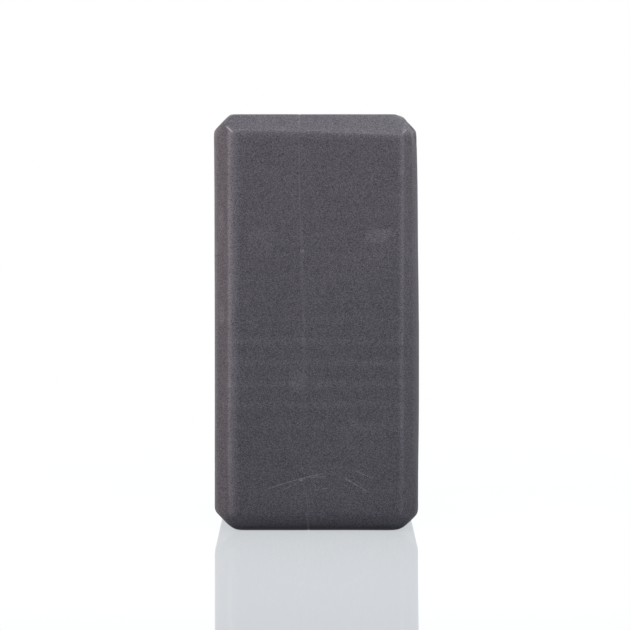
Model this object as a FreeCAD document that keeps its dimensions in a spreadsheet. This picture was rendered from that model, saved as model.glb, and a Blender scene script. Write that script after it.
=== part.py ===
"""Foam yoga block: two sheets of firm foam bonded face to face, with planed edges.

The block stands on one of its long narrow sides. X runs across the two slabs, Y along the
block and Z up. The origin lies on the base, under the block's middle.
"""
import FreeCAD, Part
import os
import Sketcher

# Driving sizes in millimetres: alias, value, meaning
SIZES = (
    ("block_width", 75.0, "thickness of the bonded block, across both slabs"),
    ("block_depth", 229.0, "length of the block"),
    ("block_height", 153.0, "height of the block from its base to its top"),
    ("narrow_at_base", 33.2, "thickness of the narrow slab at the base"),
    ("narrow_at_top", 31.6, "thickness of the narrow slab at the top"),
    ("glue_thickness", 0.3, "thickness of the bond line"),
    ("bevel", 6.0, "reach of each planed edge on the two faces beside it"),
    ("edge_radius", 2.0, "rounding of the edges that the planing leaves"),
    ("overrun", 4.0, "how far a planing cut passes the outside of the block"),
)

# A face counts as square to X when its normal keeps at least this share along X
SQUARE_NORMAL_SHARE = 0.9

# The block's six outer faces: the place along the axis, and the sign that leads outwards
LEFT = ("-sizes.block_width / 2", "-")
RIGHT = ("sizes.block_width / 2", "+")
FRONT = ("-sizes.block_depth / 2", "-")
BACK = ("sizes.block_depth / 2", "+")
BASE = ("0", "-")
TOP = ("sizes.block_height", "+")
INWARDS = {"-": "+", "+": "-"}

# The two glued faces: their places along X at the base and at the top
NARROW_SEAM = (LEFT[0] + " + sizes.narrow_at_base", LEFT[0] + " + sizes.narrow_at_top")
WIDE_SEAM = tuple(place + " + sizes.glue_thickness" for place in NARROW_SEAM)

# Numbers that a sketch gives its origin and the two ends of a line
ORIGIN = -1
START = 1
END = 2

doc = FreeCAD.newDocument("yoga_block")
sheet = doc.addObject("Spreadsheet::Sheet", "sizes")


def fill_sheet():
    """One row for each driving size, with the alias that the features are bound to."""
    for row, (alias, size, meaning) in enumerate(SIZES, start=1):
        sheet.set(f"A{row}", meaning)
        sheet.set(f"B{row}", str(size))
        sheet.setAlias(f"B{row}", alias)
    doc.recompute()


def value(expression):
    """What an expression in the sheet's aliases comes to now."""
    return float(sheet.evalExpression(expression))


def out_from(face, reach):
    """A place outside one of the block's faces."""
    place, outwards = face
    return f"{place} {outwards} {reach}"


def in_from(face, reach):
    """A place inside one of the block's faces."""
    place, outwards = face
    return f"{place} {INWARDS[outwards]} {reach}"


def pin(sketch, kind, line, expression):
    """Hold a line's start at a place along one axis of the sketch."""
    held = Sketcher.Constraint(kind, ORIGIN, START, line, START, value(expression))
    index = sketch.addConstraint(held)
    sketch.setExpression(f"Constraints[{index}]", expression)


def add_outline(sketch, corners):
    """A closed outline of straight lines through corners given as pairs of expressions."""
    places = [FreeCAD.Vector(value(across), value(up), 0) for across, up in corners]
    ends = places[1:] + places[:1]
    lines = [sketch.addGeometry(Part.LineSegment(start, end)) for start, end in zip(places, ends)]
    for line, following in zip(lines, lines[1:] + lines[:1]):
        sketch.addConstraint(Sketcher.Constraint("Coincident", line, END, following, START))
    for line, (across, up) in zip(lines, corners):
        pin(sketch, "DistanceX", line, across)
        pin(sketch, "DistanceY", line, up)


def make_sketch(body, role, name, outlines):
    """A sketch of closed outlines on one of the body's own origin planes."""
    sketch = body.newObject("Sketcher::SketchObject", name)
    plane = next(feature for feature in body.Origin.OriginFeatures if feature.Role == role)
    sketch.AttachmentSupport = [(plane, "")]
    sketch.MapMode = "FlatFace"
    for corners in outlines:
        add_outline(sketch, corners)
    doc.recompute()
    return sketch


def corner_wedge(first, second):
    """The wedge that a planing cut takes off the corner between two of the block's faces."""
    reach = "(sizes.bevel + sizes.overrun)"
    first_out = out_from(first, "sizes.overrun")
    second_out = out_from(second, "sizes.overrun")
    return [
        (first_out, second_out),
        (in_from(first, reach), second_out),
        (first_out, in_from(second, reach)),
    ]


def end_wedges():
    """The four wedges along X: the base and top edges of both ends."""
    return [corner_wedge(end, level) for end in (FRONT, BACK) for level in (BASE, TOP)]


def side_wedges(side):
    """The two upright wedges of one broad side, at both ends of the block."""
    return [corner_wedge(side, end) for end in (FRONT, BACK)]


def plane_off(body, base, role, name, wedges):
    """Cut wedges right through the body, and make sure that foam came away."""
    cut = body.newObject("PartDesign::Pocket", name)
    cut.Profile = make_sketch(body, role, name + "_wedges", wedges)
    cut.Type = "ThroughAll"
    cut.SideType = "Symmetric"
    doc.recompute()
    if not cut.Shape.Volume < base.Shape.Volume:
        raise RuntimeError(f"{name} removed nothing")
    return cut


def is_glued(face):
    """True for a face that lies inside the block and is about square to X."""
    inside = abs(face.CenterOfMass.x) < value(in_from(RIGHT, "sizes.bevel"))
    return inside and abs(face.normalAt(0, 0).x) > SQUARE_NORMAL_SHARE


def soften(body, base):
    """Round every edge that the planing left, apart from the edges of the glued faces."""
    glued = [edge for face in base.Shape.Faces if is_glued(face) for edge in face.Edges]
    free = [
        f"Edge{number}"
        for number, edge in enumerate(base.Shape.Edges, start=1)
        if not any(edge.isSame(other) for other in glued)
    ]
    rounding = body.newObject("PartDesign::Fillet", body.Name + "_softened")
    rounding.Base = (base, free)
    rounding.setExpression("Radius", "sizes.edge_radius")
    doc.recompute()


def make_piece(name, profile, sides=()):
    """One piece: its profile padded along Y, planed at the ends and outer sides, and softened."""
    body = doc.addObject("PartDesign::Body", name)
    body.Label = name
    body.Placement = FreeCAD.Placement()
    blank = body.newObject("PartDesign::Pad", name + "_blank")
    blank.Profile = make_sketch(body, "XZ_Plane", name + "_profile", [profile])
    blank.SideType = "Symmetric"
    blank.setExpression("Length", "sizes.block_depth")
    doc.recompute()
    planed = plane_off(body, blank, "YZ_Plane", name + "_end_bevels", end_wedges())
    for side in sides:
        planed = plane_off(body, planed, "XY_Plane", name + "_side_bevels", side_wedges(side))
    soften(body, planed)
    return body


def slab_profile(side, seam):
    """A slab seen from the end: the seam, the top, the side between two bevels and the base."""
    foot, head = seam
    side_place = side[0]
    flat_end = in_from(side, "sizes.bevel")
    return [
        (foot, BASE[0]),
        (head, TOP[0]),
        (flat_end, TOP[0]),
        (side_place, in_from(TOP, "sizes.bevel")),
        (side_place, in_from(BASE, "sizes.bevel")),
        (flat_end, BASE[0]),
    ]


def film_profile():
    """The bond line seen from the end: a thin leaning strip between the two slabs."""
    (left_foot, left_head), (right_foot, right_head) = NARROW_SEAM, WIDE_SEAM
    return [(left_foot, BASE[0]), (right_foot, BASE[0]), (right_head, TOP[0]), (left_head, TOP[0])]


def write_pieces(pieces):
    """Check the whole document, then write each piece to a file of its own."""
    for item in doc.Objects:
        if {"Invalid", "Error"} & set(item.State):
            raise RuntimeError(f"{item.Label} failed: {item.State}")
    for piece in pieces:
        if piece.Shape.isNull() or not piece.Shape.isValid():
            raise RuntimeError(f"{piece.Label} has no valid shape")
    os.makedirs("parts", exist_ok=True)
    for piece in pieces:
        piece.Shape.exportStep(f"parts/{piece.Label}.step")
        print(piece.Label, f"{piece.Shape.Volume:.0f} mm3", piece.Shape.BoundBox)


fill_sheet()
write_pieces([
    make_piece("narrow_slab", slab_profile(LEFT, NARROW_SEAM), [LEFT]),
    make_piece("glue_film", film_profile()),
    make_piece("wide_slab", slab_profile(RIGHT, WIDE_SEAM), [RIGHT]),
])
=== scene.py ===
import math

import bmesh
import bpy
from bpy.props import FloatProperty, FloatVectorProperty, PointerProperty
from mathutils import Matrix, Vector


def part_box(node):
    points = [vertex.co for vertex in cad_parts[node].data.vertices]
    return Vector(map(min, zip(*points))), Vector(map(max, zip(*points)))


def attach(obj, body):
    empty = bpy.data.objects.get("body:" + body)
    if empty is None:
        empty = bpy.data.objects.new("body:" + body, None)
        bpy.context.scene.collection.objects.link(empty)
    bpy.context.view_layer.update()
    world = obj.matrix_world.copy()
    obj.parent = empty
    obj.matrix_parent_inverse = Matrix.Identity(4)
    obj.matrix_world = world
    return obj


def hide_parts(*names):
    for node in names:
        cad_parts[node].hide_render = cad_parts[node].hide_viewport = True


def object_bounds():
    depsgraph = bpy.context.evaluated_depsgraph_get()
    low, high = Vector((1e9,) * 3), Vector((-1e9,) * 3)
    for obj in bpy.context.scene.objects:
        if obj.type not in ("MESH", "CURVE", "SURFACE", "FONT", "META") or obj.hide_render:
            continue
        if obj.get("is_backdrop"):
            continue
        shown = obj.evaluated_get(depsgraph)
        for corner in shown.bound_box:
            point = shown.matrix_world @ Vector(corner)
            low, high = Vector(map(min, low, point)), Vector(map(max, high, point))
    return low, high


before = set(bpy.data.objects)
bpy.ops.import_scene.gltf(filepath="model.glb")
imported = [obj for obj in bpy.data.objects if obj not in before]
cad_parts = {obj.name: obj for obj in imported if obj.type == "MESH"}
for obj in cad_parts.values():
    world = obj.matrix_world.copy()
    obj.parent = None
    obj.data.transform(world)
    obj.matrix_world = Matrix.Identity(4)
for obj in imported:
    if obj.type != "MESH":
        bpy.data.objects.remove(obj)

bl_info = {
    "name": "Yoga block",
    "version": (1, 0, 0),
    "blender": (4, 5, 0),
    "location": "3D View > Sidebar > Yoga block",
    "description": "Dresses a bonded foam yoga block with planed edges and a worn cut end",
    "category": "Add Mesh",
}

# Lengths are in metres, and a millimetre is written with its own name
MM = 0.001
FULL_TURN = 2 * math.pi
QUARTER_TURN = FULL_TURN / 4
WHITE = (1.0, 1.0, 1.0, 1.0)

# The middle of a share or a noise that runs from 0 to 1, and what keeps a division from zero
HALF = 0.5
NEARLY_ZERO = 1e-6

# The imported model: the box of the whole block, and where the bond line runs at the base and at the top
CAD_LOW, CAD_HIGH = (corner.copy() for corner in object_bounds())
NARROW_LOW, NARROW_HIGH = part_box("narrow_slab")
FILM_LOW, FILM_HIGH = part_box("glue_film")
WIDE_LOW, WIDE_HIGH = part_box("wide_slab")
WIDTH = CAD_HIGH.x - CAD_LOW.x
DEPTH = CAD_HIGH.y - CAD_LOW.y
HEIGHT = CAD_HIGH.z - CAD_LOW.z
FRONT = CAD_LOW.y
NARROW_SIDE = (NARROW_LOW.x, NARROW_LOW.x)
NARROW_SEAM = (NARROW_HIGH.x, FILM_LOW.x)
WIDE_SEAM = (FILM_HIGH.x, WIDE_LOW.x)
WIDE_SIDE = (WIDE_HIGH.x, WIDE_HIGH.x)

# Grid steps of a piece: across one planed edge, and on the flat between two edges
EDGE_STEPS = 32
FLAT_STEPS_ACROSS = 20
FLAT_STEPS_ALONG = 72
FLAT_STEPS_UP = 150
FILM_STEPS = 4

# How strongly grid lines crowd towards a ridge, and where in the planed edge the ridge lies
CROWDING = 0.6
RIDGE_SHARE = 0.563

# How square each form is: a higher number leaves a flatter face or a crisper ridge
FACE_SQUARENESS = 9.0
RIDGE_SQUARENESS = 40.0
NARROW_SIDE_SQUARENESS = 14.0
WIDE_SIDE_SQUARENESS = 6.5
BASE_RIDGE_SQUARENESS = 12.0

# How far a direction leans to a broad side where its ridge begins and ends to soften
SIDE_RIDGE_ENDS = (-0.45, 0.35)

# That softness fades towards the top and the base, but stays where an end of the block is near
SIDE_RIDGE_FADE = (0.0, 0.35)
SIDE_RIDGE_KEPT = (0.05, 0.5)

# Grid heights, from -0.5 to 0.5, between which the ridges sharpen above the worn base
BASE_WEAR_ENDS = (-0.36, -0.22)

# Below that height a bevel is soft towards the end and firmer where it is pressed on the floor
PRESSED_ENDS = (-0.3, 0.2)
PRESSED_SHARE = 0.2

# Grid heights between which the ridges' paleness, from rubbing and a painted highlight, begins
RUB_FADE_ENDS = (-0.45, -0.37)

# Pale ridge bands of rubbing and painted highlight, by how far past a face the bevel lies: start, peak,
# end and strength
NARROW_RUB_AND_HIGHLIGHT = (0.77, 1.02, 1.13, 1.08)
WIDE_RUB_AND_HIGHLIGHT = (0.89, 1.01, 1.08, 0.62)
LONG_RUB_AND_HIGHLIGHT = (0.9, 1.03, 1.1, 0.6)
END_RUB_AND_HIGHLIGHT = (0.8, 1.02, 1.07, 0.34)
CREASE_HIGHLIGHT_BAND = (0.93, 0.985, 1.4, 1.0)

# The painted highlight, with some rubbed paleness, along the crease where an upright bevel meets the
# top's: how strong it is on each slab
NARROW_CREASE_HIGHLIGHT = 4.2
WIDE_CREASE_HIGHLIGHT = 1.3

# How near the two bevels are where it shows, how far it lies to one side, and where it stops
CREASE_WIDTH_ENDS = (0.963, 1.0)
CREASE_SHIFT = 1.013
CREASE_STOP_ENDS = (0.86, 1.08)

# A pale band of rubbing and painted highlight ends where the next bevel begins, and grows weaker towards
# the base
NEXT_BEVEL_ENDS = (0.98, 1.04)
RUB_RISE_ENDS = (-0.35, -0.1)
RUB_AT_BASE = 0.7

# An upright bevel's band of rubbing and painted highlight is weaker on its outer ridge, and the top's
# end bevel has it only on its lower one
SIDE_RUB_LOSS = 0.7
TOP_RUB_ENDS = (-0.3, 0.1)

# The cut ends roll towards their ridges, the more steeply the nearer they are
END_ROLL_POWER = 3.0
END_ROLL_STOP = 0.6
END_ROLL_SOFTNESS = 0.25
END_ROLL_FADE = 0.5

# The base's bevel is smaller at the two ends of the block
BASE_END_GAIN = -0.25

# The long bevels are steeper at the top and flatter at the base
LONG_BEVEL_LEAN = 0.03

# Away from the ends, the ridges of the worn base keep a share of their crispness
LONG_KEPT_ENDS = (0.5, 0.9)
LONG_KEPT_SHARE = 0.5

# The wide slab is worn round above its broad side, and its top bevel widens towards that side
TOP_WEAR_ENDS = (-0.2, 0.3)
TOP_WEAR_SIDE_ENDS = (0.05, 0.4)
TOP_RIDGE_SQUARENESS = 10.5
TOP_BEVEL_DRIFT = 0.2

# Its upright bevels turn a little towards the ends of the block as they near the top
TWIST_ENDS = (0.15, 0.42)
CORNER_TWIST = 0.15

# The broad sides swell up to this share of the height, and are pinched near the top
SWELL_TOP = 0.8
PINCH_POWER = 6.0

# How far out from the core, as a share, that swell begins and is full
SWELL_ENDS = (0.5, 1.0)

# The bond line strays in a slow wave: its crest and period as shares of the height, and its offset
SEAM_CREST = 0.48
SEAM_PERIOD = 0.8
SEAM_OFFSET = 0.33

# It veers aside at the foot: between which shares of the height, and by how many wavers
SEAM_FOOT_ENDS = (0.05, 0.15)
SEAM_FOOT_SHIFT = 3.1

# It swings along the block: how often, and by how many wavers
SEAM_SWINGS = 1.3
SEAM_SWING_SHARE = 0.6

# Saw marks: the height of one of them, how far they stray, and where they are strongest
SAW_PEAK = 62 * MM
SAW_DRIFT = 2.4 * MM
SAW_SHARPNESS = 4.0
SAW_RISE = (34 * MM, 44 * MM)
SAW_FALL = (70 * MM, 82 * MM)
SAW_REST = 0.3

# How slowly that straying changes across the block, and how squarely a face looks along it to be sawn
SAW_DRIFT_ACROSS = 0.25
SAWN_FACING = (0.9, 0.99)

# Noise that the saw marks stray by, and that dents the foam: size and detail
SAW_NOISE = (11 * MM, 1.0)
DENT_NOISE = (22 * MM, 1.0)

# How much each slab's broad side swells, is pinched towards the top, and gains in its base bevel
NARROW_BEND = (0.11 * MM, 0.22 * MM, 0.18)
WIDE_BEND = (0.33 * MM, 0.95 * MM, 0.02)
FILM_BEND = (0.0, 0.0, 0.12)

# Faces that look along X by this share, and lie this near to the middle, are the hidden glued ones
GLUED_NORMAL_SHARE = 0.9
GLUED_REACH = WIDTH / 4

# The bend past which an edge is shaded as a sharp one
SHARP_ANGLE = math.radians(40)

# Names of the mesh attributes that say how pale a ridge is painted, for rubbing and a highlight, and how
# near the bond line is
RIDGE_RUB_AND_HIGHLIGHT = "ridge"
SEAM = "seam"


class Value:
    """A number or vector that comes out of a node; sums on numbers add Math nodes."""

    def __init__(self, tree, socket):
        self.tree = tree
        self.socket = socket

    def __getitem__(self, name):
        """Another output of the same node."""
        return Value(self.tree, self.socket.node.outputs[name])

    def math(self, operation, *others):
        sockets = dict(enumerate((self, *others)))
        return self.tree.node("ShaderNodeMath", {"operation": operation}, sockets)

    def flipped(self, operation, first):
        return self.tree.node("ShaderNodeMath", {"operation": operation}, {0: first, 1: self})

    def __add__(self, other):
        return self.math("ADD", other)

    def __sub__(self, other):
        return self.math("SUBTRACT", other)

    def __rsub__(self, other):
        return self.flipped("SUBTRACT", other)

    def __mul__(self, other):
        return self.math("MULTIPLY", other)

    def __truediv__(self, other):
        return self.math("DIVIDE", other)

    def __rtruediv__(self, other):
        return self.flipped("DIVIDE", other)

    def __pow__(self, other):
        return self.math("POWER", other)

    def __abs__(self):
        return self.math("ABSOLUTE")

    __radd__ = __add__
    __rmul__ = __mul__

    def most(self, other):
        return self.math("MAXIMUM", other)

    def below(self, limit):
        return self.math("LESS_THAN", limit)

    def wave(self):
        return self.math("SINE")

    def span(self, low, high, shape="LINEAR"):
        """0 at low and below, 1 at high and above."""
        sockets = {0: self, 1: low, 2: high, 3: 0.0, 4: 1.0}
        return self.tree.node("ShaderNodeMapRange", {"interpolation_type": shape}, sockets)

    def ease(self, low, high):
        """As span, with soft ends."""
        return self.span(low, high, "SMOOTHSTEP")


class Tree:
    """A node tree, and the one way in which a node is added to it."""

    def __init__(self, nodes):
        self.tree = nodes

    def node(self, kind, settings=None, sockets=None):
        """Add a node: its settings first, then a value or a link for each socket that is named."""
        node = self.tree.nodes.new(kind)
        for name, setting in (settings or {}).items():
            setattr(node, name, setting)
        for name, given in (sockets or {}).items():
            if isinstance(given, Value):
                self.tree.links.new(given.socket, node.inputs[name])
            else:
                node.inputs[name].default_value = given
        return Value(self, node.outputs[0]) if node.outputs else None

    def inputs(self, kinds):
        """Named inputs of a group."""
        for name, kind in kinds.items():
            self.tree.interface.new_socket(name, in_out="INPUT", socket_type=kind)
        group = self.node("NodeGroupInput")
        return {name: group[name] for name in kinds}

    def parts(self, vector):
        """The three numbers of a vector."""
        split = self.node("ShaderNodeSeparateXYZ", None, {0: vector})
        return split["X"], split["Y"], split["Z"]

    def vector(self, *numbers):
        return self.node("ShaderNodeCombineXYZ", None, dict(enumerate(numbers)))

    def scaled(self, vector, factor):
        """A vector or colour, times a number."""
        sockets = {0: vector, "Scale": factor}
        return self.node("ShaderNodeVectorMath", {"operation": "SCALE"}, sockets)

    def noise(self, place, size, detail=2.0, roughness=0.5):
        """Smooth noise from 0 to 1 whose lumps are about size across."""
        sockets = {"Vector": place, "Scale": 1 / size, "Detail": detail, "Roughness": roughness}
        return self.node("ShaderNodeTexNoise", None, sockets)

    def mix(self, share, first, second):
        """A colour between two others, or beyond the second where the share passes 1."""
        # The node has sockets of one name for numbers, vectors and colours, so these go by their places
        sockets = {0: share, 6: first, 7: second}
        return self.node("ShaderNodeMix", {"data_type": "RGBA", "clamp_factor": False}, sockets)[2]


# The rule of a planed foam piece

PIECE_INPUTS = {
    "Steps across": "NodeSocketInt",
    "Steps along": "NodeSocketInt",
    "Steps up": "NodeSocketInt",
    "Left foot": "NodeSocketFloat",
    "Left head": "NodeSocketFloat",
    "Right foot": "NodeSocketFloat",
    "Right head": "NodeSocketFloat",
    "Left planed": "NodeSocketFloat",
    "Right planed": "NodeSocketFloat",
    "Left edge share": "NodeSocketFloat",
    "Right edge share": "NodeSocketFloat",
    "End edge share": "NodeSocketFloat",
    "Level edge share": "NodeSocketFloat",
    "Depth": "NodeSocketFloat",
    "Height": "NodeSocketFloat",
    "Bevel": "NodeSocketFloat",
    "Roll": "NodeSocketFloat",
    "Seam waver": "NodeSocketFloat",
    "Seam sink": "NodeSocketFloat",
    "Seam reach": "NodeSocketFloat",
    "Side swell": "NodeSocketFloat",
    "Side pinch": "NodeSocketFloat",
    "Base bevel gain": "NodeSocketFloat",
    "End roll": "NodeSocketFloat",
    "Saw spacing": "NodeSocketFloat",
    "Saw height": "NodeSocketFloat",
    "Unevenness": "NodeSocketFloat",
    "Material": "NodeSocketMaterial",
}


def crowd(share):
    """Draw grid lines together where a planed edge has its ridge."""
    phase = (share - RIDGE_SHARE) * FULL_TURN
    return share - (phase.wave() + math.sin(FULL_TURN * RIDGE_SHARE)) * (CROWDING / FULL_TURN)


def two_ended(along, edge_share):
    """A grid axis with a planed edge at both ends: the side, the flat share and the edge share."""
    reach = abs(along) * 2
    flat_end = 1 - edge_share
    return along.math("SIGN"), reach.span(0.0, flat_end), crowd(reach.span(flat_end, 1.0))


def power_sum(terms, power):
    """Terms added as powers: the higher the power, the nearer the largest term alone."""
    total = terms[0] ** power
    for term in terms[1:]:
        total = total + term ** power
    return total


def rubbed(past, rub):
    """A ridge's pale band of rubbing and painted highlight: 0 on the face, strongest just past the
    ridge, and 0 on the bevel.
    """
    start, peak, end, strength = rub
    return past.ease(start, peak) * (1 - past.ease(peak, end)) * strength


def nearness(first, second):
    """1 where two planes meet, and 0 a little way off."""
    likeness = first.math("MINIMUM", second) / first.most(second).most(NEARLY_ZERO)
    return likeness.ease(*CREASE_WIDTH_ENDS)


def planed_tree():
    """A box whose edges are cut to mitred bevels and whose faces roll a little towards them."""
    group = bpy.data.node_groups.new("planed_foam_piece", "GeometryNodeTree")
    group.interface.new_socket("Geometry", in_out="OUTPUT", socket_type="NodeSocketGeometry")
    tree = Tree(group)
    given = tree.inputs(PIECE_INPUTS)
    counts = {
        "Vertices X": given["Steps across"] + 1,
        "Vertices Y": given["Steps along"] + 1,
        "Vertices Z": given["Steps up"] + 1,
    }
    box = tree.node("GeometryNodeMeshCube", None, counts)
    across, along, up = tree.parts(tree.node("GeometryNodeInputPosition"))
    roll, height = given["Roll"], given["Height"]

    # Across the slab: a planed edge on the outer side, and lines that crowd towards the glued side
    left_planed, right_planed = given["Left planed"], given["Right planed"]
    run = across + HALF
    left_end = given["Left edge share"]
    right_start = 1 - given["Right edge share"]
    left = crowd(1 - run.span(0.0, left_end)) * left_planed
    right = crowd(run.span(right_start, 1.0)) * right_planed
    flat = run.span(left_end, right_start)
    to_right = 1 - (1 - flat) ** 2
    plain = 1 - left_planed - right_planed
    inner = to_right * left_planed + flat ** 2 * right_planed + flat * plain

    # Along and up: a planed edge at both ends
    end_side, end_flat, end = two_ended(along, given["End edge share"])
    level_side, level_flat, level = two_ended(up, given["Level edge share"])

    # Direction of each point from the block's core, as shares of the largest part
    side = left + right
    largest = side.most(end).most(level).most(NEARLY_ZERO)
    to_side, to_end, to_level = side / largest, end / largest, level / largest

    # The base's ridges are worn softer, and the wide slab's top is worn round towards its side
    low = up.below(0.0)
    crisp = up.ease(*BASE_WEAR_ENDS)
    pressed = (to_level - to_end.most(to_side)).ease(*PRESSED_ENDS)
    kept = (to_side - to_end).ease(*LONG_KEPT_ENDS) * LONG_KEPT_SHARE
    firm = crisp.most(pressed * PRESSED_SHARE).most(kept)
    beside = 1 - to_level.ease(*SIDE_RIDGE_FADE) * (1 - to_end.ease(*SIDE_RIDGE_KEPT))
    outer = (to_side - to_end).ease(*SIDE_RIDGE_ENDS) * beside
    side_squareness = NARROW_SIDE_SQUARENESS * left_planed + WIDE_SIDE_SQUARENESS * right_planed
    worked = RIDGE_SQUARENESS + outer * (side_squareness - RIDGE_SQUARENESS)
    worn_top = (to_level - to_side).ease(*TOP_WEAR_ENDS) * to_side.ease(*TOP_WEAR_SIDE_ENDS)
    worn_top = worn_top * right_planed * (1 - low)
    worked = worked + worn_top * (TOP_RIDGE_SQUARENESS - worked)
    ridge_power = BASE_RIDGE_SQUARENESS + firm * (worked - BASE_RIDGE_SQUARENESS)
    long_gain = low * given["Base bevel gain"]
    long_lean = (1 - 2 * low) * LONG_BEVEL_LEAN
    end_gain = low * BASE_END_GAIN
    drift = inner * right_planed * (1 - low) * TOP_BEVEL_DRIFT
    twist = up.ease(*TWIST_ENDS) * right_planed * CORNER_TWIST
    cut = given["Bevel"] / roll
    upright_reach = 2 - cut
    long_reach = 2 - cut * (1 + long_gain)
    end_reach = 2 - cut * (1 + end_gain + drift)
    face = power_sum((to_side, to_end, to_level), FACE_SQUARENESS) ** (1 / FACE_SQUARENESS)
    planes = (
        face,
        (to_side * (1 - twist) + to_end * (1 + twist)) / (upright_reach + twist * cut),
        (to_side * (1 + long_lean) + to_level * (1 - long_lean)) / long_reach,
        (to_end + to_level) / end_reach,
    )
    spread = power_sum(planes, ridge_power) ** (1 / ridge_power)
    flat_spread = (1 + 2 * upright_reach ** (0 - ridge_power)) ** (1 / ridge_power)
    reach = roll * (flat_spread / spread)

    # How pale each ridge is painted, for rubbing and a highlight: it fades slowly into the face and fast
    # into the bevel
    past_upright, past_long, past_end = (plane / face.most(NEARLY_ZERO) for plane in planes[1:])
    # A painted highlight along the mitre crease, with some rubbed paleness, shifted a little to one side
    # of it
    crease_highlight = rubbed(past_upright, CREASE_HIGHLIGHT_BAND) * nearness(past_upright * CREASE_SHIFT, past_end)
    crease_highlight = crease_highlight * (NARROW_CREASE_HIGHLIGHT * left_planed + WIDE_CREASE_HIGHLIGHT * right_planed)
    crease_highlight = crease_highlight * (1 - past_long.ease(*CREASE_STOP_ENDS)) * (1 - low)
    off_upright, off_long, off_end = (
        1 - past.ease(*NEXT_BEVEL_ENDS) for past in (past_upright, past_long, past_end)
    )
    left_rub_and_highlight = rubbed(past_upright, NARROW_RUB_AND_HIGHLIGHT) * left_planed
    right_rub_and_highlight = rubbed(past_upright, WIDE_RUB_AND_HIGHLIGHT) * right_planed
    worn_up = RUB_AT_BASE + up.span(*RUB_RISE_ENDS) * (1 - RUB_AT_BASE)
    upright = (left_rub_and_highlight + right_rub_and_highlight) * (1 - outer * SIDE_RUB_LOSS) * worn_up * up.ease(*RUB_FADE_ENDS)
    # The ridge attribute carries the paleness of rubbing together with a painted highlight
    ridge = upright * off_long * off_end
    ridge = ridge.most(rubbed(past_long, LONG_RUB_AND_HIGHLIGHT) * off_upright * off_end * crisp)
    end_rub_and_highlight = rubbed(past_end, END_RUB_AND_HIGHLIGHT) * (to_end - to_level).ease(*TOP_RUB_ENDS)
    ridge = ridge.most(end_rub_and_highlight * off_upright * off_long * (1 - low)).most(crease_highlight)

    # The broad sides swell, and the glued faces lean, waver and leave a shallow groove at the skin
    rise = (level_side * level_flat * (height / 2 - roll) + level_side * level * reach) / height + HALF
    depth = given["Depth"]
    way_back = (end_side * (end_flat * (depth / 2 - roll) + end * reach)) / depth + HALF
    waver = ((rise - SEAM_CREST) * (FULL_TURN / SEAM_PERIOD) + QUARTER_TURN).wave() - SEAM_OFFSET
    foot = (1 - rise.ease(*SEAM_FOOT_ENDS)) * SEAM_FOOT_SHIFT
    swing = (way_back * (FULL_TURN * SEAM_SWINGS)).wave() * SEAM_SWING_SHARE
    seam_shift = (waver + foot + swing) * given["Seam waver"]
    swell = (rise.span(0.0, SWELL_TOP) * (FULL_TURN / 2)).wave() ** 2 * given["Side swell"]
    bend = swell - rise ** PINCH_POWER * given["Side pinch"]
    left_wall = given["Left foot"] + (given["Left head"] - given["Left foot"]) * rise
    right_wall = given["Right foot"] + (given["Right head"] - given["Right foot"]) * rise
    left_wall = left_wall + seam_shift * (1 - left_planed)
    right_wall = right_wall + seam_shift * (1 - right_planed)
    left_core = left_wall + left_planed * roll
    right_core = right_wall - right_planed * roll
    gap = right_core - left_core
    seam_distance = gap * ((1 - inner) * left_planed + inner * right_planed) + side * roll
    seam = 1 - seam_distance.ease(0.0, given["Seam reach"])
    reach = reach - given["Seam sink"] * seam

    # The cut ends fall back a little towards their ridges
    rolled = [
        way.math("SMOOTH_MIN", END_ROLL_STOP, END_ROLL_SOFTNESS) for way in (to_side, to_level)
    ]
    end_roll = given["End roll"] * power_sum(rolled, END_ROLL_POWER) * end.ease(0.0, END_ROLL_FADE)
    x = left_core + gap * inner + (right - left) * reach + bend * side.ease(*SWELL_ENDS)
    y = end_side * (end_flat * (depth / 2 - roll) + end * reach - end_roll)
    z = height / 2 + level_side * (level_flat * (height / 2 - roll) + level * reach)
    marked = box
    for name, mark in ((RIDGE_RUB_AND_HIGHLIGHT, ridge), (SEAM, seam)):
        marked = tree.node(
            "GeometryNodeStoreNamedAttribute",
            {"data_type": "FLOAT", "domain": "POINT"},
            {"Geometry": marked, "Name": name, "Value": mark},
        )
    shaped = tree.node(
        "GeometryNodeSetPosition", None, {"Geometry": marked, "Position": tree.vector(x, y, z)}
    )
    skinned = saw_and_dent(tree, given, shaped)
    real = tree.node("GeometryNodeRealizeInstances", None, {"Geometry": skinned})
    painted = tree.node(
        "GeometryNodeSetMaterial", None, {"Geometry": real, "Material": given["Material"]}
    )
    tree.node("NodeGroupOutput", None, {"Geometry": painted})
    return group


def saw_and_dent(tree, given, shaped):
    """Faint saw marks on both cut ends, and slow dents all over."""
    place = tree.node("GeometryNodeInputPosition")
    outwards = tree.node("GeometryNodeInputNormal")
    facing = abs(tree.parts(outwards)[1]).ease(*SAWN_FACING)
    saw = saw_marks(tree, place, given["Saw spacing"]) * facing * given["Saw height"]
    dents = (tree.noise(place, *DENT_NOISE) - HALF) * given["Unevenness"]
    offset = tree.scaled(outwards, saw + dents)
    return tree.node("GeometryNodeSetPosition", None, {"Geometry": shaped, "Offset": offset})


def saw_marks(tree, place, spacing):
    """Level bands that the saw left across an end, strongest below the middle."""
    across, along, up = tree.parts(place)
    drift = tree.noise(tree.vector(across * SAW_DRIFT_ACROSS, along, up), *SAW_NOISE)
    phase = (up - SAW_PEAK + (drift - HALF) * SAW_DRIFT) / spacing * FULL_TURN
    peak = ((phase + QUARTER_TURN).wave() * HALF + HALF) ** SAW_SHARPNESS
    window = up.ease(*SAW_RISE) * (1 - up.ease(*SAW_FALL))
    return peak * (window * (1 - SAW_REST) + SAW_REST)


# Turning the rule into plain meshes


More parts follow.
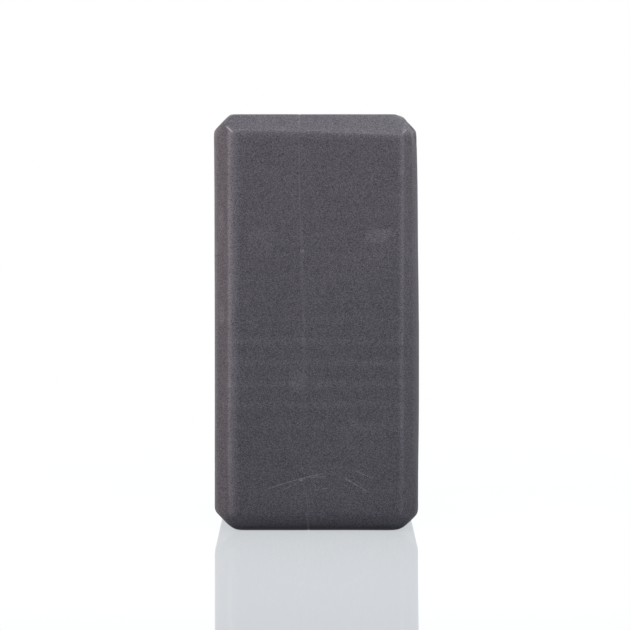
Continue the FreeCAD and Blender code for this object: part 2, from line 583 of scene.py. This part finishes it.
def set_inputs(modifier, values):
    """Set a modifier's inputs by the identifiers of its tree's sockets."""
    for item in modifier.node_group.interface.items_tree:
        if item.item_type == "SOCKET" and item.in_out == "INPUT":
            modifier[item.identifier] = values[item.name]


def join_glued_faces(mesh):
    """Make one face of each hidden glued side, whose grid nobody sees."""
    work = bmesh.new()
    work.from_mesh(mesh)
    for way in (-1, 1):
        glued = [
            face
            for face in work.faces
            if face.normal.x * way > GLUED_NORMAL_SHARE
            and abs(face.calc_center_median().x) < GLUED_REACH
        ]
        if glued:
            bmesh.ops.dissolve_faces(work, faces=glued, use_verts=True)
    work.to_mesh(mesh)
    work.free()


def grow(name, tree, values):
    """Run the rule on an empty object and keep the result as its plain mesh."""
    piece = bpy.data.objects.new(name, bpy.data.meshes.new(name + "_seed"))
    bpy.context.scene.collection.objects.link(piece)
    modifier = piece.modifiers.new("planed", "NODES")
    modifier.node_group = tree
    set_inputs(modifier, values)
    evaluated = piece.evaluated_get(bpy.context.evaluated_depsgraph_get())
    mesh = bpy.data.meshes.new_from_object(evaluated)
    piece.modifiers.clear()
    seed = piece.data
    piece.data = mesh
    bpy.data.meshes.remove(seed)
    mesh.name = name
    join_glued_faces(mesh)
    mesh.shade_smooth()
    mesh.set_sharp_from_angle(angle=SHARP_ANGLE)
    if not mesh.polygons:
        raise RuntimeError(f"{name} came out empty")
    return piece


def piece_values(shape, material, left, right, left_planed, right_planed, bend):
    """The rule's inputs for a piece between two walls, each given at its foot and at its head."""
    if left_planed or right_planed:
        steps = FLAT_STEPS_ACROSS + EDGE_STEPS
    else:
        steps = FILM_STEPS
    along = FLAT_STEPS_ALONG + 2 * EDGE_STEPS
    up = FLAT_STEPS_UP + 2 * EDGE_STEPS
    swell, pinch, base_gain = bend
    return {
        "Steps across": steps,
        "Steps along": along,
        "Steps up": up,
        "Left foot": left[0],
        "Left head": left[1],
        "Right foot": right[0],
        "Right head": right[1],
        "Left planed": float(left_planed),
        "Right planed": float(right_planed),
        "Left edge share": EDGE_STEPS / steps * left_planed,
        "Right edge share": EDGE_STEPS / steps * right_planed,
        "End edge share": 2 * EDGE_STEPS / along,
        "Level edge share": 2 * EDGE_STEPS / up,
        "Depth": DEPTH,
        "Height": HEIGHT,
        "Bevel": shape.bevel,
        "Roll": shape.roll,
        "Seam waver": shape.seam_waver,
        "Seam sink": shape.seam_sink,
        "Seam reach": shape.seam_reach,
        "Side swell": swell,
        "Side pinch": pinch,
        "Base bevel gain": base_gain,
        "End roll": shape.end_roll,
        "Saw spacing": shape.saw_spacing,
        "Saw height": shape.saw_height,
        "Unevenness": shape.unevenness,
        "Material": material,
    }


# Finishes

# Pale patches on the photographed end: middle across and up, half width and height, lean, strength
SCUFFS = (
    (22.2 * MM, 108.4 * MM, 4.3 * MM, 2.7 * MM, 0.6, 0.24),
    (26.6 * MM, 109.4 * MM, 2.6 * MM, 2.2 * MM, 0.5, 0.1),
    (-6.8 * MM, 55.3 * MM, 3.2 * MM, 4.6 * MM, 0.0, 0.17),
    (-35.5 * MM, 113.5 * MM, 1.4 * MM, 5.4 * MM, 0.0, 0.2),
    (-35.6 * MM, 80.0 * MM, 1.8 * MM, 3.7 * MM, 0.0, 0.32),
    (-35.0 * MM, 44.6 * MM, 1.3 * MM, 3.0 * MM, 0.0, 0.1),
    (-20.6 * MM, 106.4 * MM, 4.8 * MM, 5.6 * MM, 0.0, 0.11),
    (-22.9 * MM, 76.2 * MM, 1.8 * MM, 1.8 * MM, 0.0, 0.1),
    (-5.2 * MM, 102.8 * MM, 0.7 * MM, 0.7 * MM, 0.0, 0.8),
    (-4.3 * MM, 70.8 * MM, 0.8 * MM, 0.8 * MM, 0.0, 0.25),
    (-5.1 * MM, 19.2 * MM, 0.8 * MM, 0.6 * MM, 1.5, 0.65),
    (34.6 * MM, 147.6 * MM, 3.0 * MM, 2.2 * MM, 0.3, 0.25),
)

# A patch's form: how square it is, how ragged, and the shares of its size between which it fades
SCUFF_SQUARENESS = 4.0
SCUFF_RAGGEDNESS = 0.5
SCUFF_FADE = (0.75, 1.15)

# Heights on that end between which the bond line grows clear and then faint, and how clear it is
SEAM_CLEAR_RISE = (72 * MM, 82 * MM)
SEAM_CLEAR_FALL = (106 * MM, 114 * MM)
SEAM_AT_TOP = 0.3
SEAM_AT_FOOT = 0.5
SEAM_ELSEWHERE = 0.7

# Painted contact shadow that darkens the foam where it stands: how high it reaches, and how dark it is
CONTACT_SHADE_TOP = 3.0 * MM
CONTACT_SHADE = 0.92

# Painted shade of small pits in that end, written as the pale patches are
PIT_SHADES = ((-6.4 * MM, 131.5 * MM, 0.7 * MM, 0.6 * MM, 0.0, 0.4),)

# Fine scratches near the foot of that end: start, end, how far they bow up, half width, strength
SCRATCHES = (
    ((-18.9 * MM, 15.4 * MM), (3.3 * MM, 21.5 * MM), 0.5 * MM, 0.38 * MM, 0.75),
    ((-3.0 * MM, 19.8 * MM), (3.6 * MM, 20.2 * MM), 0.1 * MM, 0.35 * MM, 0.75),
    ((-12.8 * MM, 15.1 * MM), (-6.7 * MM, 17.8 * MM), 0.1 * MM, 0.4 * MM, 0.4),
    ((-2.1 * MM, 14.8 * MM), (5.3 * MM, 16.2 * MM), 0.1 * MM, 0.4 * MM, 0.5),
    ((9.6 * MM, 20.1 * MM), (19.6 * MM, 14.2 * MM), 0.1 * MM, 0.38 * MM, 0.85),
    ((10.4 * MM, 23.2 * MM), (13.5 * MM, 21.6 * MM), 0.0 * MM, 0.4 * MM, 0.3),
    ((14.0 * MM, 22.4 * MM), (20.8 * MM, 19.4 * MM), 0.1 * MM, 0.38 * MM, 0.6),
    ((13.2 * MM, 19.3 * MM), (17.3 * MM, 17.0 * MM), 0.0 * MM, 0.35 * MM, 0.3),
    ((10.0 * MM, 17.3 * MM), (12.6 * MM, 16.0 * MM), 0.0 * MM, 0.35 * MM, 0.25),
    ((5.5 * MM, 22.2 * MM), (8.7 * MM, 20.4 * MM), 0.0 * MM, 0.35 * MM, 0.25),
)

# The share of a scratch over which each end fades, and what brings the middle of its bow to full height
SCRATCH_FADE = 0.12
BOW_SCALE = 4

# How far from the photographed end its own marks reach, and from both ends the saw's pale bands
FRONT_FADE = (2.5 * MM, 6.5 * MM)
SAWN_FADE = (2 * MM, 1 * MM)

# Noise in the foam: size and detail, for grit with its size as a share of a cell
MOTTLE_NOISE = (7 * MM, 2.0)
CLOUD_NOISE = (32 * MM, 1.0)
RAGGED_NOISE = (2.2 * MM, 2.0)
GRIT_SHARE = 0.8
GRIT_DETAIL = 1.0

# How pale a ridge's rubbing and painted highlight is at least, and how much of it the mottle adds
RUB_LEAST = 0.75
RUB_MOTTLE = 0.5

# Where the cloud is thick enough to show as a faint blotch, and how even that blotch is
BLOTCH_ENDS = (0.6, 0.78)
BLOTCH_EVENNESS = 0.7

# How much the ridges' rubbing and painted highlight hide the grain, and how much mottle and cloud change
# the brightness
GRAIN_LOSS = 0.4
MOTTLE_SHARE = 0.1
CLOUD_SHARE = 0.12

# How much smoother pale foam is, and how much the cells differ in roughness
PALE_SMOOTHNESS = 0.1
CELL_ROUGHNESS = 0.12

# The foam's relief: what cells, grit and pale marks add, its strength and depth, and the foam's gloss
CELL_RELIEF = 0.6
GRIT_RELIEF = 0.4
PALE_RELIEF = 0.3
FOAM_BUMP = (0.35, 0.12 * MM)
FOAM_GLOSS = 0.15

# Noise in the glue: size and detail, and for the streaks also roughness
STREAK_NOISE = (5 * MM, 3.0, 0.6)
SPECK_NOISE = (1.2 * MM, 1.0)
GLUE_NOISE = (0.6 * MM, 2.0)

# Where streaks and specks begin and are full, how much glue they show, and how much streaks shade
STREAK_ENDS = (0.4, 0.7)
SPECK_ENDS = (0.6, 0.75)
STREAK_SHARE = 0.4
SPECK_SHARE = 0.4
STREAK_SHADE = 0.5

# The glue's roughness, how much the specks add to it, its relief's strength and depth, and its gloss
GLUE_ROUGHNESS = 0.42
SPECK_ROUGHNESS = 0.1
GLUE_BUMP = (0.3, 0.1 * MM)
GLUE_GLOSS = 0.35


def scuff(across, up, ragged, middle_across, middle_up, half_width, half_height, lean):
    """A squarish leaning patch with a ragged border."""
    rise = up - middle_up
    from_middle_across = abs((across - middle_across - rise * lean) / half_width)
    from_middle_up = abs(rise / half_height)
    away = power_sum((from_middle_across, from_middle_up), SCUFF_SQUARENESS) ** (1 / SCUFF_SQUARENESS)
    return 1 - (away + ragged * SCUFF_RAGGEDNESS).ease(*SCUFF_FADE)


def scratch(across, up, start, end, bow, half_width):
    """A thin line that bows upwards between two places and fades at its ends."""
    run = across.span(start[0], end[0])
    line = start[1] + run * (end[1] - start[1]) + run * (1 - run) * (BOW_SCALE * bow)
    ends = run.ease(0.0, SCRATCH_FADE) * (1 - run.ease(1 - SCRATCH_FADE, 1.0))
    return (1 - abs(up - line).ease(0.0, half_width)) * ends


def new_material(name):
    """An empty node material and the tree to fill."""
    material = bpy.data.materials.new(name)
    material.use_nodes = True
    material.node_tree.nodes.clear()
    return material, Tree(material.node_tree)


def patches(across, up, ragged, forms):
    """Ragged patches, each as strong as its row says, as one number."""
    return sum(scuff(across, up, ragged, *form) * strength for *form, strength in forms)


def worn_marks(across, up, ragged):
    """All scuffs and scratches of the photographed end, as one number."""
    scratches = sum(scratch(across, up, *form) * strength for *form, strength in SCRATCHES)
    return patches(across, up, ragged, SCUFFS) + scratches


def seam_clearness(up, front):
    """How clear the bond line is: on the photographed end it is clearest in the middle."""
    above_foot = up.ease(*SEAM_CLEAR_RISE)
    below_top = 1 - up.ease(*SEAM_CLEAR_FALL)
    lower = SEAM_AT_FOOT + above_foot * (1 - SEAM_AT_FOOT)
    shown = SEAM_AT_TOP + below_top * (lower - SEAM_AT_TOP)
    return SEAM_ELSEWHERE + front * (shown - SEAM_ELSEWHERE)


def contact_shade_factor(up):
    """1 away from the floor, and less in the painted contact shadow at the foot of foam or glue."""
    return 1 - (1 - up.ease(0.0, CONTACT_SHADE_TOP)) * CONTACT_SHADE


def skin(tree, colour, roughness, gloss, relief, bump):
    """End a material in a surface with a fine relief, given with its strength and depth."""
    strength, depth = bump
    sockets = {"Strength": strength, "Distance": depth, "Height": relief}
    normal = tree.node("ShaderNodeBump", None, sockets)
    sockets = {
        "Base Color": colour,
        "Roughness": roughness,
        "Specular IOR Level": gloss,
        "Normal": normal,
    }
    surface = tree.node("ShaderNodeBsdfPrincipled", None, sockets)
    tree.node("ShaderNodeOutputMaterial", None, {"Surface": surface})


def foam_material(finish, shape):
    """Charcoal closed-cell foam: fine cells, saw bands, pale ridges of rubbing and painted highlight, a
    few scuffs, painted shade in small pits and a painted contact shadow at the foot.
    """
    material, tree = new_material("charcoal_foam")
    place = tree.node("ShaderNodeTexCoord")["Object"]
    across, along, up = tree.parts(place)
    cells = tree.node("ShaderNodeTexVoronoi", None, {"Vector": place, "Scale": 1 / finish.cell_size})
    shade = tree.parts(cells["Color"])[0]
    grit = tree.noise(place, finish.cell_size * GRIT_SHARE, GRIT_DETAIL)
    mottle = tree.noise(place, *MOTTLE_NOISE)
    cloud = tree.noise(place, *CLOUD_NOISE)
    ragged = tree.noise(place, *RAGGED_NOISE) - HALF
    front = 1 - along.ease(*(FRONT + reach for reach in FRONT_FADE))
    ends = abs(along).ease(*(DEPTH / 2 - reach for reach in SAWN_FADE))

    ridge = tree.node("ShaderNodeAttribute", {"attribute_name": RIDGE_RUB_AND_HIGHLIGHT})["Fac"]
    seam = tree.node("ShaderNodeAttribute", {"attribute_name": SEAM})["Fac"]
    # The ridges are painted pale for rubbing and also for a highlight that the lamps do not give
    worn = ridge * (mottle * RUB_MOTTLE + RUB_LEAST) * finish.ridge_rub_and_highlight
    pressed = seam * (mottle + HALF) * seam_clearness(up, front) * finish.seam_paleness
    saw = saw_marks(tree, place, shape.saw_spacing) * ends * finish.saw_paleness
    marks = worn_marks(across, up, ragged) * front
    # Dark spots painted where small pits would hold shade
    pit_shade = patches(across, up, ragged, PIT_SHADES) * front
    blotches = cloud.ease(*BLOTCH_ENDS) * (ragged + BLOTCH_EVENNESS) * finish.blotch_paleness
    pale = worn + pressed + saw + marks + blotches
    pale_foam = tree.mix(pale, (*finish.foam_colour, 1.0), (*finish.rubbed_and_highlight_colour, 1.0))
    grain = (shade - HALF) * finish.grain * (1 - worn * GRAIN_LOSS)
    brightness = 1 + grain + (mottle - HALF) * MOTTLE_SHARE + (cloud - HALF) * CLOUD_SHARE - pit_shade
    # The colour is darkened at the foot by a painted contact shadow
    colour = tree.scaled(pale_foam, brightness * contact_shade_factor(up))

    roughness = finish.roughness - pale * PALE_SMOOTHNESS + (shade - HALF) * CELL_ROUGHNESS
    relief = cells["Distance"] * CELL_RELIEF + grit * GRIT_RELIEF + pale * PALE_RELIEF
    skin(tree, colour, roughness, FOAM_GLOSS, relief, FOAM_BUMP)
    return material


def glue_material(finish):
    """Dried contact glue: a thin uneven film, slightly paler than the foam."""
    material, tree = new_material("dried_glue")
    place = tree.node("ShaderNodeTexCoord")["Object"]
    up = tree.parts(place)[2]
    streak = tree.noise(place, *STREAK_NOISE)
    specks = tree.noise(place, *SPECK_NOISE).ease(*SPECK_ENDS)
    thin = tree.scaled((*finish.foam_colour,), 1 + (streak - HALF) * STREAK_SHADE)
    share = streak.ease(*STREAK_ENDS) * STREAK_SHARE + specks * SPECK_SHARE
    glue = tree.mix(share, thin, (*finish.glue_colour, 1.0))
    # The glue too is darkened at the foot by a painted contact shadow
    colour = tree.scaled(glue, contact_shade_factor(up))
    roughness = GLUE_ROUGHNESS + specks * SPECK_ROUGHNESS
    skin(tree, colour, roughness, GLUE_GLOSS, tree.noise(place, *GLUE_NOISE), GLUE_BUMP)
    return material


# Stage

# Soft boxes: place, width and height
FRONT_BOX = ((0.0, -0.38, 0.28), 0.5, 0.2)
LEFT_BOX = ((-0.45, -0.06, 0.3), 0.3, 0.3)
RIGHT_BOX = ((0.2, -0.12, 0.34), 0.2, 0.2)
TOP_BOX = ((0.12, -0.05, 0.7), 0.4, 0.4)
BACK_BOX = ((0.0, 1.2, 0.7), 0.8, 0.6)

# The table: half its width, where it fades to white, how white it is, how its gloss bends light, tints
FLOOR_HALF = 4.0
FLOOR_MIDDLE = -0.15
FLOOR_NEAR = 0.36
FLOOR_FAR = 0.6
FLOOR_WHITENESS = 0.86
FLOOR_IOR = 1.45
BOUNCE_GREY = (0.295, 0.335, 0.37, 1.0)
COOL_WHITE = (1.045, 1.085, 1.13, 1.0)

# Width of the camera's sensor in millimetres
SENSOR_WIDTH = 36.0


def seen_directly(tree):
    """1 for rays from the camera, a mirror or glass."""
    path = tree.node("ShaderNodeLightPath")
    return path["Is Camera Ray"].most(path["Is Glossy Ray"]).most(path["Is Transmission Ray"])


def make_world(stage):
    """White behind the block, and a weaker even light on it."""
    world = bpy.data.worlds.new("white_room")
    bpy.context.scene.world = world
    world.use_nodes = True
    world.node_tree.nodes.clear()
    tree = Tree(world.node_tree)
    strength = stage.room_light + seen_directly(tree) * (1 - stage.room_light)
    room = tree.node("ShaderNodeBackground", None, {"Color": WHITE, "Strength": strength})
    tree.node("ShaderNodeOutputWorld", None, {"Surface": room})


def floor_material(stage):
    """Pale gloss table: it mirrors the block faintly and fades to white away from it."""
    material, tree = new_material("pale_gloss_table")
    place = tree.node("ShaderNodeTexCoord")["Object"]
    across, along = tree.parts(place)[:2]
    away = (across ** 2 + (along - FLOOR_MIDDLE) ** 2).math("SQRT")
    far = away.ease(FLOOR_NEAR, FLOOR_FAR)
    seen = seen_directly(tree)
    colour = tree.mix(seen, BOUNCE_GREY, (*stage.floor_colour, 1.0))
    lit = tree.node("ShaderNodeBsdfDiffuse", None, {"Color": colour})
    tint = tree.mix(far, COOL_WHITE, WHITE)
    white = tree.node("ShaderNodeEmission", None, {"Color": tint, "Strength": 1.0})
    whiteness = (FLOOR_WHITENESS + far * (1 - FLOOR_WHITENESS)) * seen
    matt = tree.node("ShaderNodeMixShader", None, {0: whiteness, 1: lit, 2: white})
    gloss = tree.node(
        "ShaderNodeBsdfGlossy", None, {"Color": WHITE, "Roughness": stage.floor_roughness}
    )
    mirror = tree.node("ShaderNodeFresnel", None, {"IOR": FLOOR_IOR}) * (1 - far) * stage.floor_gloss
    surface = tree.node("ShaderNodeMixShader", None, {0: mirror, 1: matt, 2: gloss})
    tree.node("ShaderNodeOutputMaterial", None, {"Surface": surface})
    return material


def make_floor(stage):
    """The table that the block stands on."""
    mesh = bpy.data.meshes.new("table")
    corners = [(-1, -1), (1, -1), (1, 1), (-1, 1)]
    places = [(x * FLOOR_HALF, y * FLOOR_HALF, CAD_LOW.z) for x, y in corners]
    mesh.from_pydata(places, [], [range(len(places))])
    mesh.materials.append(floor_material(stage))
    floor = bpy.data.objects.new("table", mesh)
    bpy.context.scene.collection.objects.link(floor)
    floor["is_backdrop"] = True


def aim(thing, place, target):
    """Put a lamp or camera at a place, looking at a target."""
    thing.location = place
    thing.rotation_euler = (Vector(target) - Vector(place)).to_track_quat("-Z", "Y").to_euler()


def make_lamp(name, place, width, height, power, colour=WHITE[:3]):
    """A soft box that lights the block without being seen itself."""
    lamp = bpy.data.lights.new(name, "AREA")
    lamp.color = colour
    lamp.shape = "RECTANGLE"
    lamp.size = width
    lamp.size_y = height
    lamp.energy = power
    holder = bpy.data.objects.new(name, lamp)
    bpy.context.scene.collection.objects.link(holder)
    aim(holder, place, (0.0, FRONT, HEIGHT / 2))
    holder.visible_camera = False
    holder.visible_glossy = False


def make_camera(stage):
    """A long lens a little above the block, square to its end."""
    camera = bpy.data.cameras.new("camera")
    camera.lens = stage.lens
    camera.sensor_width = SENSOR_WIDTH
    holder = bpy.data.objects.new("camera", camera)
    bpy.context.scene.collection.objects.link(holder)
    place = (stage.camera_across, FRONT - stage.camera_distance, stage.camera_height)
    aim(holder, place, (stage.camera_across, FRONT, stage.camera_target))
    bpy.context.scene.camera = holder


# Settings


class YogaBlockShape(bpy.types.PropertyGroup):
    """Sizes of the dressed block."""

    bevel: FloatProperty(
        name="Bevel",
        description="Reach of each planed edge on the two faces beside it",
        default=6 * MM,
        unit="LENGTH",
    )
    roll: FloatProperty(
        name="Roll",
        description="How far from an edge the faces begin to roll towards it",
        default=12 * MM,
        unit="LENGTH",
    )
    seam_waver: FloatProperty(
        name="Seam waver",
        description="How far the bond line strays from a straight line",
        default=0.6 * MM,
        unit="LENGTH",
    )
    seam_sink: FloatProperty(
        name="Seam sink",
        description="Depth of the shallow groove along the bond line",
        default=0.05 * MM,
        unit="LENGTH",
    )
    seam_reach: FloatProperty(
        name="Seam reach",
        description="Half width of the shallow groove along the bond line",
        default=0.75 * MM,
        unit="LENGTH",
    )
    end_roll: FloatProperty(
        name="End roll",
        description="How far the cut ends fall back towards their edges",
        default=0.8 * MM,
        unit="LENGTH",
    )
    saw_spacing: FloatProperty(
        name="Saw spacing",
        description="Distance from one saw mark to the next on the cut ends",
        default=7.8 * MM,
        unit="LENGTH",
    )
    saw_height: FloatProperty(
        name="Saw height",
        description="Height of a saw mark",
        default=0.04 * MM,
        unit="LENGTH",
    )
    unevenness: FloatProperty(
        name="Unevenness",
        description="Height of the slow dents and swells of the foam",
        default=0.16 * MM,
        unit="LENGTH",
    )


class YogaBlockFinish(bpy.types.PropertyGroup):
    """Colours and surface of the foam and the glue."""

    foam_colour: FloatVectorProperty(
        name="Foam",
        description="Colour of the foam",
        default=(0.087, 0.0825, 0.101),
        subtype="COLOR",
    )
    # The pale colour of rubbed foam, also the colour of the painted ridge highlight
    rubbed_and_highlight_colour: FloatVectorProperty(
        name="Rubbed foam",
        description="Colour of foam that has been rubbed pale",
        default=(0.176, 0.17, 0.2),
        subtype="COLOR",
    )
    glue_colour: FloatVectorProperty(
        name="Glue",
        description="Colour of the dried glue",
        default=(0.13, 0.125, 0.14),
        subtype="COLOR",
    )
    cell_size: FloatProperty(
        name="Cell size",
        description="Size of the foam's cells",
        default=0.2 * MM,
        unit="LENGTH",
    )
    grain: FloatProperty(
        name="Grain",
        description="How much the cells differ in brightness",
        default=1.25,
        subtype="FACTOR",
    )
    # How pale the ridges are painted, for rubbing and for a highlight
    ridge_rub_and_highlight: FloatProperty(
        name="Ridge wear",
        description="How pale the planed ridges are rubbed",
        default=0.62,
        subtype="FACTOR",
    )
    seam_paleness: FloatProperty(
        name="Seam paleness",
        description="How pale the foam is along the bond line",
        default=0.17,
        subtype="FACTOR",
    )
    saw_paleness: FloatProperty(
        name="Saw paleness",
        description="How pale the saw marks are",
        default=0.12,
        subtype="FACTOR",
    )
    blotch_paleness: FloatProperty(
        name="Blotch paleness",
        description="How pale the faint handling marks are",
        default=0.06,
        subtype="FACTOR",
    )
    roughness: FloatProperty(
        name="Roughness",
        description="Roughness of the foam",
        default=0.62,
        subtype="FACTOR",
    )


class YogaBlockStage(bpy.types.PropertyGroup):
    """Floor, light and camera."""

    floor_colour: FloatVectorProperty(
        name="Table",
        description="Colour of the table",
        default=(0.57, 0.6, 0.63),
        subtype="COLOR",
    )
    floor_roughness: FloatProperty(
        name="Table roughness",
        description="Roughness of the table's gloss",
        default=0.04,
        subtype="FACTOR",
    )
    floor_gloss: FloatProperty(
        name="Table gloss",
        description="How much of its full gloss the table has",
        default=0.645,
        subtype="FACTOR",
    )
    room_light: FloatProperty(
        name="Room light",
        description="Even light from all around",
        default=0.03,
    )
    top_power: FloatProperty(
        name="Top light",
        description="Power of the soft box above",
        default=1.2,
        unit="POWER",
    )
    top_colour: FloatVectorProperty(
        name="Top colour",
        description="Colour of the soft box above, cool",
        default=(0.75, 1.1, 1.15),
        subtype="COLOR",
        max=2.0,
    )
    left_power: FloatProperty(
        name="Left light",
        description="Power of the soft box on the left",
        default=2.65,
        unit="POWER",
    )
    left_colour: FloatVectorProperty(
        name="Left colour",
        description="Colour of the soft box on the left, a little warm",
        default=(1.17, 1.0, 0.83),
        subtype="COLOR",
        max=2.0,
    )
    right_power: FloatProperty(
        name="Right light",
        description="Power of the soft box on the right",
        default=0.89,
        unit="POWER",
    )
    right_colour: FloatVectorProperty(
        name="Right colour",
        description="Colour of the soft box on the right, a little warm",
        default=(1.07, 1.04, 0.89),
        subtype="COLOR",
        max=2.0,
    )
    front_power: FloatProperty(
        name="Front light",
        description="Power of the soft box above the photographed end",
        default=0.96,
        unit="POWER",
    )
    front_colour: FloatVectorProperty(
        name="Front colour",
        description="Colour of the soft box above the photographed end, a little warm",
        default=(1.04, 0.98, 0.98),
        subtype="COLOR",
        max=2.0,
    )
    back_power: FloatProperty(
        name="Back light",
        description="Power of the soft box behind the block",
        default=14.0,
        unit="POWER",
    )
    lens: FloatProperty(
        name="Lens",
        description="Focal length of the camera in millimetres",
        default=312.4,
        unit="CAMERA",
    )
    camera_distance: FloatProperty(
        name="Camera distance",
        description="From the block's end to the camera",
        default=2.0,
        unit="LENGTH",
    )
    camera_across: FloatProperty(
        name="Camera across",
        description="Place of the camera across the block",
        default=-0.5 * MM,
        unit="LENGTH",
    )
    camera_height: FloatProperty(
        name="Camera height",
        description="Height of the camera above the floor",
        default=152.5 * MM,
        unit="LENGTH",
    )
    camera_target: FloatProperty(
        name="Camera target",
        description="Height on the block's end that the camera looks at",
        default=79.55 * MM,
        unit="LENGTH",
    )


# Operators


def finish_piece(piece, node):
    """Tie a piece to the body it rides on, and hide the imported part that it stands for."""
    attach(piece, "root")
    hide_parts(node)


class FoamSlabs(bpy.types.Operator):
    """Build the narrow and the wide foam slab with planed edges"""

    bl_idname = "yoga_block.foam_slabs"
    bl_label = "Foam slabs"

    def execute(self, context):
        shape = context.scene.yoga_block_shape
        foam = foam_material(context.scene.yoga_block_finish, shape)
        tree = planed_tree()
        slabs = {
            "narrow_slab": piece_values(shape, foam, NARROW_SIDE, NARROW_SEAM, True, False, NARROW_BEND),
            "wide_slab": piece_values(shape, foam, WIDE_SEAM, WIDE_SIDE, False, True, WIDE_BEND),
        }
        for node, values in slabs.items():
            slab = grow(node + "_foam", tree, values)
            finish_piece(slab, node)
        return {"FINISHED"}


class GlueLine(bpy.types.Operator):
    """Build the film of dried glue between the slabs"""

    bl_idname = "yoga_block.glue_line"
    bl_label = "Glue line"

    def execute(self, context):
        shape = context.scene.yoga_block_shape
        glue = glue_material(context.scene.yoga_block_finish)
        values = piece_values(shape, glue, NARROW_SEAM, WIDE_SEAM, False, False, FILM_BEND)
        film = grow("glue_line", planed_tree(), values)
        finish_piece(film, "glue_film")
        return {"FINISHED"}


class Stage(bpy.types.Operator):
    """Set up the table, the soft light, the white room and the camera"""

    bl_idname = "yoga_block.stage"
    bl_label = "Stage"

    def execute(self, context):
        stage = context.scene.yoga_block_stage
        context.scene.view_settings.view_transform = "Standard"
        make_world(stage)
        make_floor(stage)
        make_lamp("front_box", *FRONT_BOX, stage.front_power, stage.front_colour)
        make_lamp("top_box", *TOP_BOX, stage.top_power, stage.top_colour)
        make_lamp("left_box", *LEFT_BOX, stage.left_power, stage.left_colour)
        make_lamp("right_box", *RIGHT_BOX, stage.right_power, stage.right_colour)
        make_lamp("back_box", *BACK_BOX, stage.back_power)
        make_camera(stage)
        return {"FINISHED"}


class YogaBlockPanel(bpy.types.Panel):
    """Settings and steps of the yoga block"""

    bl_idname = "VIEW3D_PT_yoga_block"
    bl_label = "Yoga block"
    bl_space_type = "VIEW_3D"
    bl_region_type = "UI"
    bl_category = "Yoga block"

    def draw(self, context):
        for step, settings in STEPS:
            box = self.layout.box()
            box.operator(step.bl_idname)
            group = getattr(context.scene, settings)
            for name in group.bl_rna.properties.keys():
                if name not in ("rna_type", "name"):
                    box.prop(group, name)


STEPS = (
    (FoamSlabs, "yoga_block_shape"),
    (GlueLine, "yoga_block_finish"),
    (Stage, "yoga_block_stage"),
)
GROUPS = {
    "yoga_block_shape": YogaBlockShape,
    "yoga_block_finish": YogaBlockFinish,
    "yoga_block_stage": YogaBlockStage,
}
CLASSES = (*GROUPS.values(), FoamSlabs, GlueLine, Stage, YogaBlockPanel)


def register():
    for item in CLASSES:
        bpy.utils.register_class(item)
    for name, group in GROUPS.items():
        setattr(bpy.types.Scene, name, PointerProperty(type=group))


def unregister():
    for name in GROUPS:
        delattr(bpy.types.Scene, name)
    for item in reversed(CLASSES):
        bpy.utils.unregister_class(item)


def main():
    """Build the block and its stage."""
    register()
    bpy.ops.yoga_block.foam_slabs()
    bpy.ops.yoga_block.glue_line()
    bpy.ops.yoga_block.stage()


if __name__ == "__main__":
    main()
